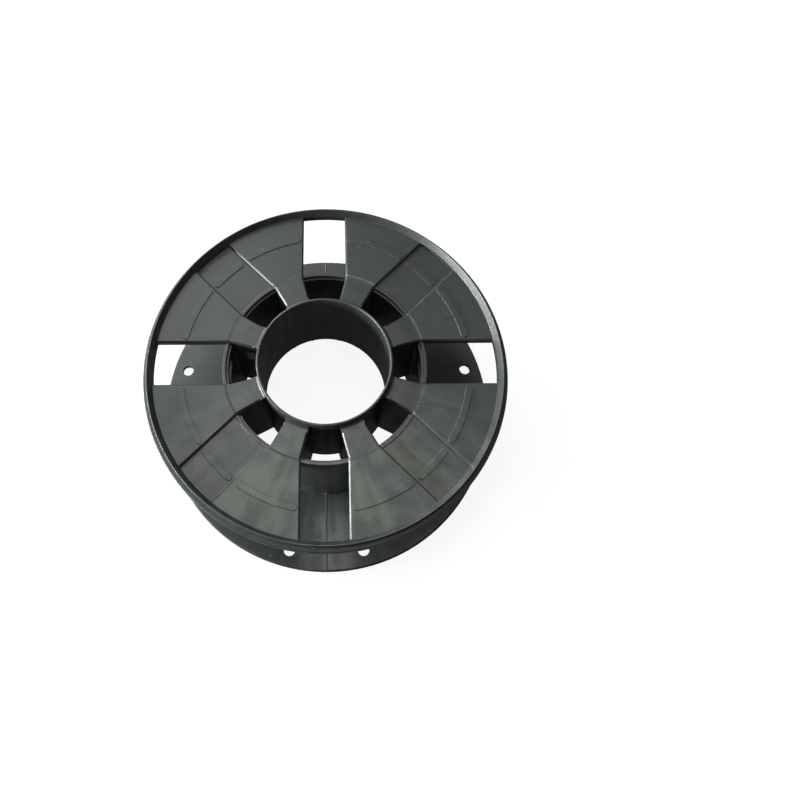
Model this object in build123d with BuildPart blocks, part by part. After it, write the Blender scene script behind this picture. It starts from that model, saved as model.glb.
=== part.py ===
from build123d import *
import math
import os

# An empty reel for filament or wire, moulded in two halves that meet at a joint in the drum.
# It lies on its drum flange: +Z runs up its axis, and the origin is on the axis at the base.
# All sizes are in millimetres.

# Overall sizes
flange_radius = 100.0
spool_width = 75.0
pattern_count = 8        # petals, spokes and hub openings around the windowed flange
window_every = 2         # every second gap between petals is an open window

# Drum flange
plate_thickness = 3.0
plate_edge_round = 0.8
drum_radius = 56.0
drum_wall = 2.5
drum_root_round = 1.0
lip_width = 3.0          # raised ring round the mouth of the drum
lip_height = 1.2
lip_step_width = 1.5
lip_step_height = 0.6

# Arc grooves in the outer face of the drum flange, with a hole at each end
groove_inset = 9.2       # from the edge of the flange to the middle of the groove
groove_half_angle = 13.5
groove_width = 3.0
groove_depth = 1.5
groove_hole_radius = 3.3

# Holes through the drum wall, below the joint
notch_count = 2          # one each side, in line with two of the windows
notch_width = 12.0
notch_height = 9.0
notch_below_joint = 1.7

# Windowed flange
web_thickness = 2.0      # floor of the channels between the petals
petal_rise = 2.0         # height of the petals above that floor
petal_bevel = 0.8
bevel_angle = 45.0
crest_rise = 4.0         # height of the rim's crest above the petals
ledge_width = 2.5        # from the edge of the flange to the crest
ledge_drop = 0.4         # the ledge falls this much towards the edge
crest_width = 0.7
crest_round = 0.25
slope_width = 2.2        # sloping inside of the rim, from the crest down to the petals
rim_edge_round = 0.6
window_width = 24.9
opening_hub_width = 17.0  # width of an opening where it meets the hub
kink_margin = 3.3         # from the drum's outside in to where the sides turn parallel
opening_margin = 1.4      # from the drum's outside in to the openings that stop there
collar_height = 3.0       # ring below the web that meets the drum
collar_step = 0.6         # the collar stands out this far from the drum
ring_rise = 0.3           # low ring on the channel floors and across the windows, over the drum
ring_bevel_angle = 45.0

# Hub tube and the ribs that stiffen it
hub_bore_radius = 36.0
hub_wall = 1.5
hub_length = 55.5
hub_lip_round = 0.6
hub_root_round = 2.0     # where the spokes run up to the hub
rib_thickness = 1.5
rib_draft = 0.6          # degrees by which the two ribs of an opening close in towards the base
rib_drop = 2.1           # the ribs reach this far past the end of the hub tube
rib_rise = 2.8           # their lower edge climbs this much on its way out to the drum
rib_clearance = 0.3      # between a rib and the drum's bore or end

# Raised beads on the petals and in the channels
bead_inset = 20.5        # from the edge of the flange to the middle of the bead
bead_width = 3.5
bead_height = 0.5
bead_end_gap = 1.6       # from the end of a bead to the petal's edge

# Levels and radii worked out from the sizes above
plate_bottom = lip_height
plate_top = plate_bottom + plate_thickness
petal_top = spool_width - crest_rise
floor_top = petal_top - petal_rise
web_bottom = floor_top - web_thickness
joint_level = web_bottom - collar_height
hub_bottom = spool_width - hub_length
drum_bore_radius = drum_radius - drum_wall
collar_radius = drum_radius + collar_step
hub_radius = hub_bore_radius + hub_wall
crest_radius = flange_radius - ledge_width
crest_inner_radius = crest_radius - crest_width
rim_foot_radius = crest_inner_radius - slope_width
groove_radius = flange_radius - groove_inset
bead_radius = flange_radius - bead_inset
opening_kink = drum_radius - kink_margin
opening_radius = drum_radius - opening_margin
pattern_angle = 360.0 / pattern_count
window_count = pattern_count // window_every
half_window = window_width / 2.0
cut_margin = 1.0         # how far a cutting shape runs past the face it cuts
tolerance = 0.01         # two levels or radii this close are the same


def half_opening(distance):
    """Half the width of a hub opening at this distance from the axis."""
    slope = (half_window - opening_hub_width / 2.0) / (opening_kink - hub_radius)
    return opening_hub_width / 2.0 + slope * (distance - hub_radius)


def reach(radius, half_width):
    """Distance along the middle of a strip of this half width to where its side meets a radius."""
    return math.sqrt(radius**2 - half_width**2)


def strip(start, end, widening=0.0):
    """Corners of an opening and the channel beyond it, from one distance to another."""
    upper = [
        (start, half_opening(start) + widening),
        (opening_kink, half_window + widening),
        (end, half_window + widening),
    ]
    lower = [(x, -y) for x, y in reversed(upper)]
    return upper + lower


def at_level(edges, level):
    """The edges that lie flat at this height."""
    return edges.filter_by_position(Axis.Z, level - tolerance, level + tolerance)


def of_radius(edges, radius):
    """The round edges of this radius."""
    circles = edges.filter_by(GeomType.CIRCLE)
    return circles.filter_by(lambda edge: abs(edge.radius - radius) < tolerance)


# Drum flange: plate, lip and drum in one moulding
groove_arc = CenterArc((0, 0), groove_radius, -groove_half_angle, 2 * groove_half_angle)
notch_middle = joint_level - notch_below_joint - notch_height / 2.0

with BuildPart() as drum_flange:
    with BuildSketch(Plane.XZ):
        with BuildLine():
            Polyline(
                (drum_bore_radius, 0),
                (drum_bore_radius + lip_step_width, 0),
                (drum_bore_radius + lip_step_width, lip_step_height),
                (drum_bore_radius + lip_width, lip_step_height),
                (drum_bore_radius + lip_width, plate_bottom),
                (flange_radius, plate_bottom),
                (flange_radius, plate_top),
                (drum_radius, plate_top),
                (drum_radius, joint_level),
                (drum_bore_radius, joint_level),
                close=True,
            )
        make_face()
    revolve(axis=Axis.Z)
    fillet(of_radius(drum_flange.edges(), flange_radius), plate_edge_round)
    fillet(of_radius(at_level(drum_flange.edges(), plate_top), drum_radius), drum_root_round)

    # arc grooves, cut from the outer face
    with BuildSketch(Plane.XY.offset(plate_bottom + groove_depth)):
        with PolarLocations(0, window_count):
            SlotArc(groove_arc, groove_width)
    extrude(amount=-(groove_depth + cut_margin), mode=Mode.SUBTRACT)

    # a hole at each end of each groove
    with BuildSketch(Plane.XY.offset(plate_bottom - cut_margin)):
        for end_angle in (-groove_half_angle, groove_half_angle):
            with PolarLocations(groove_radius, window_count, start_angle=end_angle):
                Circle(groove_hole_radius)
    extrude(amount=plate_thickness + 2 * cut_margin, mode=Mode.SUBTRACT)

    # holes through the drum wall, on opposite sides
    with Locations((0, 0, notch_middle)):
        with PolarLocations(drum_radius - drum_wall / 2.0, notch_count):
            Box(drum_wall + 2 * cut_margin, notch_width, notch_height, mode=Mode.SUBTRACT)

drum_flange.part.label = "drum_flange"


# One pair of ribs, flush with the two sides of a hub opening where they meet the web.
# Heights in their profile are measured from the underside of the web.
rib_lean = math.degrees(math.atan2(half_window - opening_hub_width / 2.0, opening_kink - hub_radius))
rib_start = reach(hub_bore_radius + hub_wall / 2.0, opening_hub_width / 2.0)
rib_length_scale = 1.0 / math.cos(math.radians(rib_lean))
rib_toe = reach(drum_bore_radius - rib_clearance, half_window + rib_thickness)
rib_toe_end = (rib_toe - rib_start) * rib_length_scale
rib_root = reach((drum_bore_radius + collar_radius) / 2.0, half_window + rib_thickness / 2.0)
rib_root_end = (rib_root - rib_start) * rib_length_scale
rib_foot_height = hub_bottom - rib_drop - web_bottom
rib_step_height = joint_level + rib_clearance - web_bottom

with BuildPart() as rib_pair:
    for side in (-1, 1):
        top = Vector(rib_start, side * half_opening(rib_start), web_bottom)
        along = Vector(1, 0, 0).rotate(Axis.Z, side * rib_lean)
        up = Vector(0, 0, 1).rotate(Axis((0, 0, 0), along), -side * rib_draft)
        with BuildSketch(Plane(origin=top, x_dir=along, z_dir=along.cross(up))):
            with BuildLine():
                Polyline(
                    (0, rib_foot_height),
                    (rib_toe_end, rib_foot_height + rib_rise),
                    (rib_toe_end, rib_step_height),
                    (rib_root_end, rib_step_height),
                    (rib_root_end, cut_margin),
                    (0, cut_margin),
                    close=True,
                )
            make_face()
        extrude(amount=-side * rib_thickness)


# Windowed flange: web, petals, rim, collar, hub tube and ribs in one moulding
channel_end = reach(rim_foot_radius, half_window)
petal_bead_half_angle = pattern_angle / 2.0 - math.degrees(
    math.asin((half_window + bead_end_gap + bead_width / 2.0) / bead_radius)
)
channel_bead_half_angle = math.degrees(
    math.asin((half_window - bead_end_gap - bead_width / 2.0) / bead_radius)
)
petal_bead_arc = CenterArc((0, 0), bead_radius, -petal_bead_half_angle, 2 * petal_bead_half_angle)
channel_bead_arc = CenterArc((0, 0), bead_radius, -channel_bead_half_angle, 2 * channel_bead_half_angle)

with BuildPart() as window_flange:
    with BuildSketch(Plane.XZ):
        with BuildLine():
            Polyline(
                (hub_bore_radius, hub_bottom),
                (hub_radius, hub_bottom),
                (hub_radius, web_bottom),
                (drum_bore_radius, web_bottom),
                (drum_bore_radius, joint_level),
                (collar_radius, joint_level),
                (collar_radius, web_bottom),
                (flange_radius, web_bottom),
                (flange_radius, petal_top - ledge_drop),
                (crest_radius, petal_top),
                (crest_radius, spool_width),
                (crest_inner_radius, spool_width),
                (rim_foot_radius, petal_top),
                (hub_radius, petal_top),
                (hub_radius, spool_width),
                (hub_bore_radius, spool_width),
                close=True,
            )
        make_face()
    revolve(axis=Axis.Z)
    for radius in (crest_inner_radius, crest_radius):
        fillet(of_radius(at_level(window_flange.edges(), spool_width), radius), crest_round)
    for radius in (hub_bore_radius, hub_radius):
        fillet(of_radius(at_level(window_flange.edges(), spool_width), radius), hub_lip_round)
    fillet(of_radius(at_level(window_flange.edges(), petal_top), hub_radius), hub_root_round)
    fillet(of_radius(window_flange.edges(), flange_radius), rim_edge_round)

    # channels between the petals, down to the floor
    with BuildSketch(Plane.XY.offset(floor_top)):
        with PolarLocations(0, pattern_count):
            Polygon(*strip(hub_radius, flange_radius), align=None)
        Circle(rim_foot_radius, mode=Mode.INTERSECT)
        Circle(hub_radius, mode=Mode.SUBTRACT)
    extrude(amount=spool_width - floor_top, mode=Mode.SUBTRACT)

    # bevelled top edges of the petals
    with BuildSketch(Plane.XY.offset(petal_top)):
        with PolarLocations(0, pattern_count):
            Polygon(*strip(hub_radius + hub_root_round, channel_end, petal_bevel), align=None)
    extrude(amount=-petal_bevel, taper=bevel_angle, mode=Mode.SUBTRACT)

    # openings between the spokes
    with BuildSketch(Plane.XY.offset(web_bottom)):
        with PolarLocations(0, pattern_count):
            Polygon(*strip(hub_radius / 2.0, flange_radius), align=None)
        Circle(opening_radius, mode=Mode.INTERSECT)
        Circle(hub_radius, mode=Mode.SUBTRACT)
    extrude(amount=spool_width - web_bottom, mode=Mode.SUBTRACT)

    # windows beyond the drum, in line with every second opening
    with BuildSketch(Plane.XY.offset(web_bottom)):
        with PolarLocations(0, window_count):
            Polygon(*strip(hub_radius, flange_radius), align=None)
        Circle(rim_foot_radius, mode=Mode.INTERSECT)
        Circle(collar_radius, mode=Mode.SUBTRACT)
    extrude(amount=petal_rise + web_thickness, mode=Mode.SUBTRACT)

    # low ring over the drum, left standing across the windows
    with BuildSketch(Plane.XY.offset(floor_top)):
        Circle(collar_radius)
        Circle(opening_radius, mode=Mode.SUBTRACT)
    extrude(amount=ring_rise, taper=ring_bevel_angle)

    # beads on the petals and in the closed channels
    with BuildSketch(Plane.XY.offset(petal_top)):
        with PolarLocations(0, pattern_count, start_angle=pattern_angle / 2.0):
            SlotArc(petal_bead_arc, bead_width)
    extrude(amount=bead_height)
    with BuildSketch(Plane.XY.offset(floor_top)):
        with PolarLocations(0, window_count, start_angle=pattern_angle):
            SlotArc(channel_bead_arc, bead_width)
    extrude(amount=bead_height)

    # ribs
    with PolarLocations(0, pattern_count):
        add(rib_pair.part)

window_flange.part.label = "window_flange"


os.makedirs("parts", exist_ok=True)
export_step(drum_flange.part, "parts/drum_flange.step")
export_step(window_flange.part, "parts/window_flange.step")
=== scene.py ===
# %% [markdown]
# # An empty plastic spool
#
# A reel for filament or wire, moulded in satin black plastic. It lies on one flange, and the other
# flange, with its petals, windows and hub, faces up. The solids come from the CAD model and stay as
# they are. What is made here is what the solids can't say: how the plastic takes the light, the
# marks that moulding and handling leave on it, the ground it lies on, the lamps and the camera.
# All lengths are in metres.

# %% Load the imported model
import math

import bpy
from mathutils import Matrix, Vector

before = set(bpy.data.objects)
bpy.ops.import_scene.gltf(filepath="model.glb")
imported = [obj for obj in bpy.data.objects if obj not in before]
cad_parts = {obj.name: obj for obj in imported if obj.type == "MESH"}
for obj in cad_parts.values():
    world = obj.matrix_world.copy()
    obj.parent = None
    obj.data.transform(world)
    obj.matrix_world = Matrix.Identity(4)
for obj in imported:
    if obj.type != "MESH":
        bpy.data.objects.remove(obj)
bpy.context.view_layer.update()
flange_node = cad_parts["window_flange"]
drum_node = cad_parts["drum_flange"]

# %% [markdown]
# ## The camera
#
# The photograph looks down on the spool from the front, about 68 degrees above the ground, from
# about half a metre away. The camera was matched to the round edges of the real spool: a circle
# seen at an angle is an ellipse, and a dozen ellipses at known heights leave the camera only one
# place to stand. The exact match needs a large shift of the lens, with which the spool would leave
# the picture in other views. This shift is smaller, and the edges stay within a few pixels of the
# photograph's. Depth of field stays off, so every edge is sharp.

# %% Place the camera
camera_place = (0.0061, -0.15884, 0.46977)
camera_turn = (28.346, 1.19, 0.098)    # degrees about X, Y and Z
camera_lens = 34.872                   # in mm, as Blender gives it
camera_shift = (0.1, -0.16)
nearest, farthest = 0.01, 50.0

camera_data = bpy.data.cameras.new("photo_camera")
camera_data.lens = camera_lens
camera_data.shift_x, camera_data.shift_y = camera_shift
camera_data.clip_start, camera_data.clip_end = nearest, farthest
camera = bpy.data.objects.new("photo_camera", camera_data)
camera.location = camera_place
camera.rotation_euler = [math.radians(angle) for angle in camera_turn]
bpy.context.scene.collection.objects.link(camera)
bpy.context.scene.camera = camera
print("camera", round(Vector(camera_place).length, 3), "m from the origin")

# %% [markdown]
# ## Helpers for node trees
#
# A material is a small network of nodes. A few helpers keep the cells below short: they add a node
# and fill its inputs, do a piece of arithmetic, and blend two colours. Whatever is handed in as a
# number is typed into the socket, and whatever comes from another node is wired.

# %% Node helpers
def add_node(tree, kind, settings=None, **inputs):
    """Add a node, set its own settings, and fill its inputs by name with numbers or wires."""
    node = tree.nodes.new(kind)
    for name, value in (settings or {}).items():
        setattr(node, name, value)
    for name, value in inputs.items():
        fill(tree, node.inputs[name.replace("_", " ")], value)
    return node


def fill(tree, socket, value):
    """Wire an output into a socket, or type a plain value into it."""
    if isinstance(value, bpy.types.NodeSocket):
        tree.links.new(value, socket)
    else:
        socket.default_value = value


def maths(tree, operation, *values, clamp=False):
    """One piece of arithmetic, and its result."""
    node = add_node(tree, "ShaderNodeMath", {"operation": operation, "use_clamp": clamp})
    for socket, value in zip(node.inputs, values):
        fill(tree, socket, value)
    return node.outputs[0]


def between(tree, value, start, end, low=0.0, high=1.0):
    """A smooth step: low before start, high after end."""
    node = add_node(tree, "ShaderNodeMapRange", {"interpolation_type": "SMOOTHSTEP"}, Value=value)
    for name, number in (("From Min", start), ("From Max", end), ("To Min", low), ("To Max", high)):
        fill(tree, node.inputs[name], number)
    return node.outputs["Result"]


def mix_colour(tree, amount, first, second):
    """Blend from the first colour to the second."""
    node = add_node(tree, "ShaderNodeMix", {"data_type": "RGBA"})
    factor, start, end = node.inputs[0], node.inputs[6], node.inputs[7]    # the colour sockets
    for socket, value in ((factor, amount), (start, first), (end, second)):
        fill(tree, socket, value)
    return node.outputs[2]


print("node helpers ready")

# %% [markdown]
# ## Helpers for node groups
#
# Both halves of the spool show the same skin, marks and edges. Each of these is a node group, which
# is built once and then placed in both materials. A group is handed the position on the object, so
# its pattern is fixed to the spool. Many patterns here follow the distance from the spool's axis.

# %% Group helpers
def new_group(name, inputs, outputs):
    """Start a node group. An input without a default, and an output called Normal, is a vector."""
    tree = bpy.data.node_groups.new(name, "ShaderNodeTree")
    for label, default in inputs.items():
        kind = "NodeSocketVector" if default is None else "NodeSocketFloat"
        socket = tree.interface.new_socket(label, in_out="INPUT", socket_type=kind)
        if default is not None:
            socket.default_value = default
    for label in outputs:
        kind = "NodeSocketVector" if label == "Normal" else "NodeSocketFloat"
        tree.interface.new_socket(label, in_out="OUTPUT", socket_type=kind)
    return tree, tree.nodes.new("NodeGroupInput").outputs, tree.nodes.new("NodeGroupOutput").inputs


def use_group(tree, group, **inputs):
    """Place a node group in a material."""
    return add_node(tree, "ShaderNodeGroup", {"node_tree": group}, **inputs).outputs


def parts_of(tree, position):
    """The X, Y and Z of a position."""
    return add_node(tree, "ShaderNodeSeparateXYZ", Vector=position).outputs


def from_axis(tree, xyz):
    """How far a position is from the spool's axis."""
    squares = [maths(tree, "MULTIPLY", side, side) for side in (xyz[0], xyz[1])]
    return maths(tree, "SQRT", maths(tree, "ADD", *squares))


print("group helpers ready")

# %% [markdown]
# ## The moulded skin
#
# Black plastic from a steel mould isn't a mirror. The mould's surface leaves a grain much finer than
# a millimetre, and the sheet between two ribs sinks a little as it cools, so large flat faces are
# very gently wavy. Both could be sculpted, but neither moves the outline, so they are heights for a
# Bump node. The group also puts out a slow, cloudy mask that varies the colour and the gloss.

# %% Group: moulded skin
grain_height, wave_height = 0.000012, 0.00006
grain_scale, wave_scale, cloud_scale = 2600.0, 38.0, 95.0    # features per metre
cloud_start, cloud_end = 0.38, 0.62


def make_moulded_skin():
    tree, given, result = new_group(
        "moulded skin",
        {"Position": None, "Grain": grain_height, "Waviness": wave_height},
        ["Height", "Cloud"],
    )
    place = given["Position"]
    grain = add_node(tree, "ShaderNodeTexNoise", Vector=place, Scale=grain_scale, Detail=3.0)
    wave = add_node(tree, "ShaderNodeTexNoise", Vector=place, Scale=wave_scale, Detail=1.0)
    cloud = add_node(tree, "ShaderNodeTexNoise", Vector=place, Scale=cloud_scale, Detail=4.0)
    fine = maths(tree, "MULTIPLY", grain.outputs["Fac"], given["Grain"])
    slow = maths(tree, "MULTIPLY", wave.outputs["Fac"], given["Waviness"])
    fill(tree, result["Height"], maths(tree, "ADD", fine, slow))
    fill(tree, result["Cloud"], between(tree, cloud.outputs["Fac"], cloud_start, cloud_end))
    return tree


moulded_skin = make_moulded_skin()
print("group", moulded_skin.name, "nodes:", len(moulded_skin.nodes))

# %% [markdown]
# ## Flow marks
#
# The plastic enters the mould at the hub and runs outwards. On the real spool faint, straight
# streaks follow that flow from the hub to the rim. Noise that is stretched along the radius gives
# them: the direction from the axis is spread out, and the distance from the axis is squeezed.

# %% Group: flow marks
streaks_round = 14.0       # how fast the streaks change on the way round the axis
streaks_outwards = 18.0    # and on the way out, per metre
streak_start, streak_end = 0.33, 0.67


def make_flow_marks():
    tree, given, result = new_group("flow marks", {"Position": None}, ["Streaks"])
    xyz = parts_of(tree, given["Position"])
    away = from_axis(tree, xyz)
    east, north = [maths(tree, "DIVIDE", side, away) for side in (xyz[0], xyz[1])]
    spread = add_node(
        tree, "ShaderNodeCombineXYZ",
        X=maths(tree, "MULTIPLY", east, streaks_round),
        Y=maths(tree, "MULTIPLY", north, streaks_round),
        Z=maths(tree, "MULTIPLY", away, streaks_outwards),
    )
    streaks = add_node(tree, "ShaderNodeTexNoise", Vector=spread.outputs[0], Scale=1.0, Detail=5.0)
    fill(tree, result["Streaks"], between(tree, streaks.outputs["Fac"], streak_start, streak_end))
    return tree


flow_marks = make_flow_marks()
print("group", flow_marks.name, "nodes:", len(flow_marks.nodes))

# %% [markdown]
# ## Handling marks
#
# A spool that has been carried about has tiny pale specks of dust and nicks, and a few hair-thin
# scuffs. Specks are the cores of a few cells of a Voronoi pattern. A scuff is a place where a
# stretched noise passes through one exact value, kept only in a few patches.

# %% Group: handling marks
speck_cells = 190.0                            # per metre
speck_core, speck_edge = 0.03, 0.09            # as shares of a cell
speck_rarity = 0.90                            # the share of cells that have no speck
scuff_turn = (0.3, 0.2, 0.9)                   # radians, so that no scuff lies along an axis
scuff_stretch = (60.0, 900.0, 900.0)           # features per metre along a scuff and across it
scuff_middle, scuff_width = 0.5, 0.012         # the noise value that a scuff follows
patch_scale, patch_start, patch_end = 55.0, 0.62, 0.7


def make_handling_marks():
    tree, given, result = new_group(
        "handling marks", {"Position": None, "Amount": 1.0}, ["Specks", "Scuffs"]
    )
    place, amount = given["Position"], given["Amount"]
    cells = add_node(tree, "ShaderNodeTexVoronoi", Vector=place, Scale=speck_cells)
    core = between(tree, cells.outputs["Distance"], speck_core, speck_edge, 1.0, 0.0)
    chance = add_node(tree, "ShaderNodeSeparateColor", Color=cells.outputs["Color"]).outputs[0]
    few = maths(tree, "GREATER_THAN", chance, speck_rarity)
    specks = maths(tree, "MULTIPLY", core, few)
    fill(tree, result["Specks"], maths(tree, "MULTIPLY", specks, amount))

    turned = add_node(tree, "ShaderNodeMapping", Vector=place, Rotation=scuff_turn, Scale=scuff_stretch)
    hair = add_node(tree, "ShaderNodeTexNoise", Vector=turned.outputs[0], Scale=1.0, Detail=1.0)
    off = maths(tree, "ABSOLUTE", maths(tree, "SUBTRACT", hair.outputs["Fac"], scuff_middle))
    line = between(tree, off, 0.0, scuff_width, 1.0, 0.0)
    patch = add_node(tree, "ShaderNodeTexNoise", Vector=place, Scale=patch_scale, Detail=1.0)
    where = between(tree, patch.outputs["Fac"], patch_start, patch_end)
    scuffs = maths(tree, "MULTIPLY", line, where)
    fill(tree, result["Scuffs"], maths(tree, "MULTIPLY", scuffs, amount))
    return tree


handling_marks = make_handling_marks()
print("group", handling_marks.name, "nodes:", len(handling_marks.nodes))

# %% [markdown]
# ## Worn edges and painted edge highlights
#
# Every moulded edge is a little round, and handling wears it a little. The Bevel node works out the
# normal that a rounded edge would have. Where that normal differs from the face's own, there is an
# edge, so the same node gives both the soft highlight and an edge mask. That mask lightens the colour
# of every edge. This is partly wear and partly a painted highlight, which stands in for the thin light
# lines that lit edges show.

# %% Group: soft edges
edge_round = 0.0003
edge_samples = 6
full_edge, no_edge = 0.9, 0.999    # how well the two normals agree on an edge and off it


def make_soft_edges():
    tree, given, result = new_group("soft edges", {"Radius": edge_round}, ["Edge", "Normal"])
    rounded = add_node(tree, "ShaderNodeBevel", {"samples": edge_samples}, Radius=given["Radius"])
    face = add_node(tree, "ShaderNodeNewGeometry").outputs["Normal"]
    match = add_node(tree, "ShaderNodeVectorMath", {"operation": "DOT_PRODUCT"})
    fill(tree, match.inputs[0], rounded.outputs[0])
    fill(tree, match.inputs[1], face)
    fill(tree, result["Edge"], between(tree, match.outputs["Value"], full_edge, no_edge, 1.0, 0.0))
    # The Edge mask later lightens the colour of every edge: partly wear, partly a painted highlight.
    fill(tree, result["Normal"], rounded.outputs[0])
    return tree


soft_edges = make_soft_edges()
print("group", soft_edges.name, "nodes:", len(soft_edges.nodes))

# %% [markdown]
# ## The crease over the drum
#
# On each spoke of the windowed flange the surface sinks by a fifth of a millimetre towards the
# drum and then steps up over the drum's wall. It is too shallow to change the outline and follows
# the distance from the axis, so it is a height made of two smooth steps, kept to the top faces.

# %% Group: drum crease
crease_depth = 0.00018
sink_from, crease_at, step_to = 0.047, 0.0548, 0.0566    # distances from the axis
below_petals, petal_level = 0.0702, 0.0706


def make_drum_crease():
    tree, given, result = new_group(
        "drum crease", {"Position": None, "Depth": crease_depth}, ["Height"]
    )
    xyz = parts_of(tree, given["Position"])
    away = from_axis(tree, xyz)
    sink = between(tree, away, sink_from, crease_at, 0.0, -1.0)
    step = between(tree, away, crease_at, step_to)
    top = between(tree, xyz[2], below_petals, petal_level)
    shape = maths(tree, "MULTIPLY", maths(tree, "ADD", sink, step), given["Depth"])
    fill(tree, result["Height"], maths(tree, "MULTIPLY", shape, top))
    return tree


drum_crease = make_drum_crease()
print("group", drum_crease.name, "nodes:", len(drum_crease.nodes))

# %% [markdown]
# ## A line in the lower flange
#
# A fine raised line runs straight out across the lower flange at the front and at the back, where
# two parts of the mould met. It lies on the plane x = 0, so the distance from that plane is enough.

# %% Group: mould line
line_rise, line_half_width = 0.00025, 0.0005
plate_level, level_spread = 0.0045, 0.001    # the line shows only close to the plate's top face


def make_mould_line():
    tree, given, result = new_group(
        "mould line", {"Position": None, "Rise": line_rise, "Width": line_half_width}, ["Height"]
    )
    xyz = parts_of(tree, given["Position"])
    aside = maths(tree, "DIVIDE", maths(tree, "ABSOLUTE", xyz[0]), given["Width"])
    line = maths(tree, "SUBTRACT", 1.0, aside, clamp=True)
    low = between(tree, xyz[2], plate_level - level_spread, plate_level)
    high = between(tree, xyz[2], plate_level, plate_level + level_spread, 1.0, 0.0)
    shape = maths(tree, "MULTIPLY", maths(tree, "MULTIPLY", line, low), high)
    fill(tree, result["Height"], maths(tree, "MULTIPLY", shape, given["Rise"]))
    return tree


mould_line = make_mould_line()
print("group", mould_line.name, "nodes:", len(mould_line.nodes))

# %% [markdown]
# ## Black moulded plastic
#
# Both halves of the spool are the same plastic, so one function makes both materials. It starts from
# a Principled shader, whose colour is nearly black and whose gloss is satin, and lays the groups
# over it: clouds and streaks in colour and roughness, pale specks and scuffs, lighter edges, and one
# Bump node that turns all the heights into a normal. The heights are real, in metres. Polystyrene
# bends light more than most plastics do, so it mirrors a little more too: its index is 1.58.

# %% Black plastic
plastic_ior = 1.58
dark_plastic, light_plastic = (0.023, 0.027, 0.024, 1), (0.045, 0.050, 0.045, 1)
# The edge colour and its share are partly wear and partly a painted highlight along every edge.
worn_and_lit_edge = (0.14, 0.14, 0.14, 1)
scuffed_plastic = (0.16, 0.16, 0.16, 1)
dust = (0.35, 0.35, 0.34, 1)
streak_share = 0.5                   # how much of the tone the streaks give; the clouds give the rest
edge_wear_and_highlight, scuff_strength = 0.5, 0.5
dark_roughness, light_roughness = 0.40, 0.30
scuff_roughness = 0.02
scuff_depth = 0.000003


def make_black_plastic(name, relief):
    """The plastic of one half, with that half's own relief on it."""
    material = bpy.data.materials.new(name)
    material.use_nodes = True
    tree = material.node_tree
    shader = tree.nodes["Principled BSDF"]
    shader.inputs["IOR"].default_value = plastic_ior
    place = add_node(tree, "ShaderNodeTexCoord").outputs["Object"]
    skin = use_group(tree, moulded_skin, Position=place)
    flow = use_group(tree, flow_marks, Position=place)
    marks = use_group(tree, handling_marks, Position=place)
    edges = use_group(tree, soft_edges)
    shape = use_group(tree, relief, Position=place)

    def share(value, amount):
        return maths(tree, "MULTIPLY", value, amount)

    tone = maths(tree, "ADD", share(skin["Cloud"], 1.0 - streak_share),
                 share(flow["Streaks"], streak_share))
    colour = mix_colour(tree, tone, dark_plastic, light_plastic)
    # Every edge is lightened here: partly wear, partly a painted highlight that stands in for lit
    # edges.
    colour = mix_colour(tree, share(edges["Edge"], edge_wear_and_highlight), colour, worn_and_lit_edge)
    colour = mix_colour(tree, share(marks["Scuffs"], scuff_strength), colour, scuffed_plastic)
    colour = mix_colour(tree, marks["Specks"], colour, dust)
    fill(tree, shader.inputs["Base Color"], colour)

    roughness = between(tree, tone, 0.0, 1.0, dark_roughness, light_roughness)
    roughness = maths(tree, "ADD", roughness, share(marks["Scuffs"], scuff_roughness))
    fill(tree, shader.inputs["Roughness"], roughness)

    height = maths(tree, "ADD", skin["Height"], shape["Height"])
    height = maths(tree, "SUBTRACT", height, share(marks["Scuffs"], scuff_depth))
    bump = add_node(tree, "ShaderNodeBump", Strength=1.0, Distance=1.0, Height=height,
                    Normal=edges["Normal"])
    fill(tree, shader.inputs["Normal"], bump.outputs["Normal"])
    return material


petal_plastic = make_black_plastic("black plastic of the windowed flange", drum_crease)
drum_plastic = make_black_plastic("black plastic of the drum", mould_line)
for node, plastic in ((flange_node, petal_plastic), (drum_node, drum_plastic)):
    for slot in node.material_slots:
        slot.material = plastic
print("slots dressed:", len(flange_node.material_slots) + len(drum_node.material_slots))

# %% [markdown]
# ## The ground
#
# The photograph is cut out on pure white. The ground here is a plain sheet: a glow that only the
# camera sees brings the open ground to white, and plain paint under it takes the spool's soft
# shadow. Glossy rays see a little of the glow too, as much as leaves the deep hollows of the spool
# nearly as dark as they are in the photograph. The glow lights nothing by itself.

# %% Ground
ground_size = 12.0
paint_colour = (0.15, 0.15, 0.15, 1)
white = (1, 1, 1, 1)
glow_for_camera = 0.90
glow_for_gloss = 0.04

bpy.ops.object.select_all(action="DESELECT")
bpy.ops.mesh.primitive_plane_add(size=ground_size, location=(0, 0, 0))
ground = bpy.context.object
ground.name = "ground"
ground_material = bpy.data.materials.new("white ground")
ground_material.use_nodes = True
ground_tree = ground_material.node_tree
paint = ground_tree.nodes["Principled BSDF"]
paint.inputs["Base Color"].default_value = paint_colour
paint.inputs["Roughness"].default_value = 1.0
paint.inputs["Specular IOR Level"].default_value = 0.0
paint.inputs["Emission Color"].default_value = white
rays = add_node(ground_tree, "ShaderNodeLightPath").outputs
straight = maths(ground_tree, "MAXIMUM", rays["Is Camera Ray"], rays["Is Transmission Ray"])
seen_glow = maths(ground_tree, "MULTIPLY", straight, glow_for_camera)
mirrored_glow = maths(ground_tree, "MULTIPLY", rays["Is Glossy Ray"], glow_for_gloss)
glow = maths(ground_tree, "ADD", seen_glow, mirrored_glow)
fill(ground_tree, paint.inputs["Emission Strength"], glow)
ground.data.materials.append(ground_material)
print("ground", ground_size, "m across")

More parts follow.
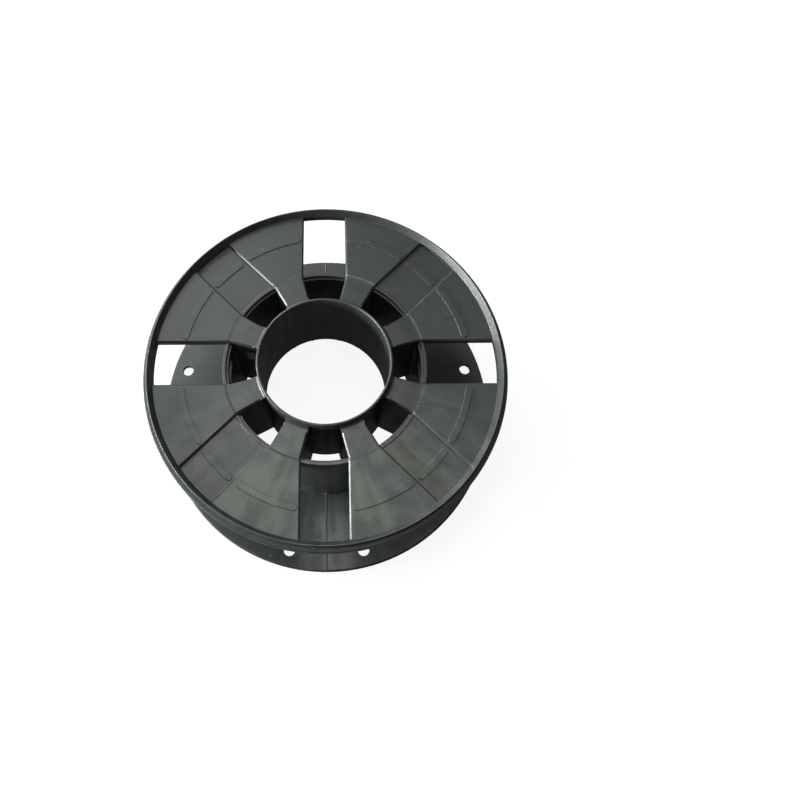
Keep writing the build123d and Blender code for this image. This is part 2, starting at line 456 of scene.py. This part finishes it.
# %% [markdown]
# ## The lamps
#
# The real picture was lit by a long, low window on the left, with weaker light from behind on the
# left and from above, and little from the front and the right. Black satin plastic shows its lamps
# more than its colour, so each lamp is a large soft sheet, placed where the real one mirrors in the
# rim, the hub's lip and the petals' edges. The window's light is a little blue and the rest a
# little green, as the shades on the real plastic are.

# %% Lamps
spool_middle = Vector((0, 0, 0.06))
skylight = (0.90, 0.94, 1.0)
fill_light = (0.95, 1.0, 0.97)
overhead_light = (0.95, 1.0, 0.94)
top_light = (0.96, 1.0, 0.90)


def soft_lamp(name, turn, rise, distance, width, height, power, colour):
    """A rectangular lamp that faces the spool, placed by degrees round it and degrees above it."""
    data = bpy.data.lights.new(name, "AREA")
    data.shape, data.color = "RECTANGLE", colour
    data.size, data.size_y, data.energy = width, height, power
    turn, rise = math.radians(turn), math.radians(rise)
    level = math.cos(rise)
    away = Vector((level * math.cos(turn), level * math.sin(turn), math.sin(rise)))
    lamp = bpy.data.objects.new(name, data)
    lamp.location = spool_middle + distance * away
    lamp.rotation_euler = away.to_track_quat("Z", "Y").to_euler()
    bpy.context.scene.collection.objects.link(lamp)
    print(name, power, "W")


soft_lamp("low_window", 183, 6, 0.95, 0.9, 0.24, 40.0, skylight)
soft_lamp("back_left_fill", 120, 35, 1.3, 0.6, 0.6, 11.5, fill_light)
soft_lamp("overhead_sheet", 140, 72, 1.3, 0.8, 0.6, 2.4, overhead_light)
soft_lamp("top_sheet", 90, 86, 1.3, 0.6, 0.6, 3.0, top_light)

# %% [markdown]
# ## The room
#
# The world adds a dim, even room all round, which fills the hollows a little. It is plain white
# where the camera looks straight at it, so that the background stays white beyond the ground.

# %% World
room_strength = 0.09
world = bpy.data.worlds.new("studio")
bpy.context.scene.world = world
world.use_nodes = True
background = world.node_tree.nodes["Background"]
background.inputs["Color"].default_value = white
camera_ray = add_node(world.node_tree, "ShaderNodeLightPath").outputs["Is Camera Ray"]
room = maths(world.node_tree, "MAXIMUM", camera_ray, room_strength)
fill(world.node_tree, background.inputs["Strength"], room)
bpy.context.scene.view_settings.view_transform = "Standard"
print("world", world.name)
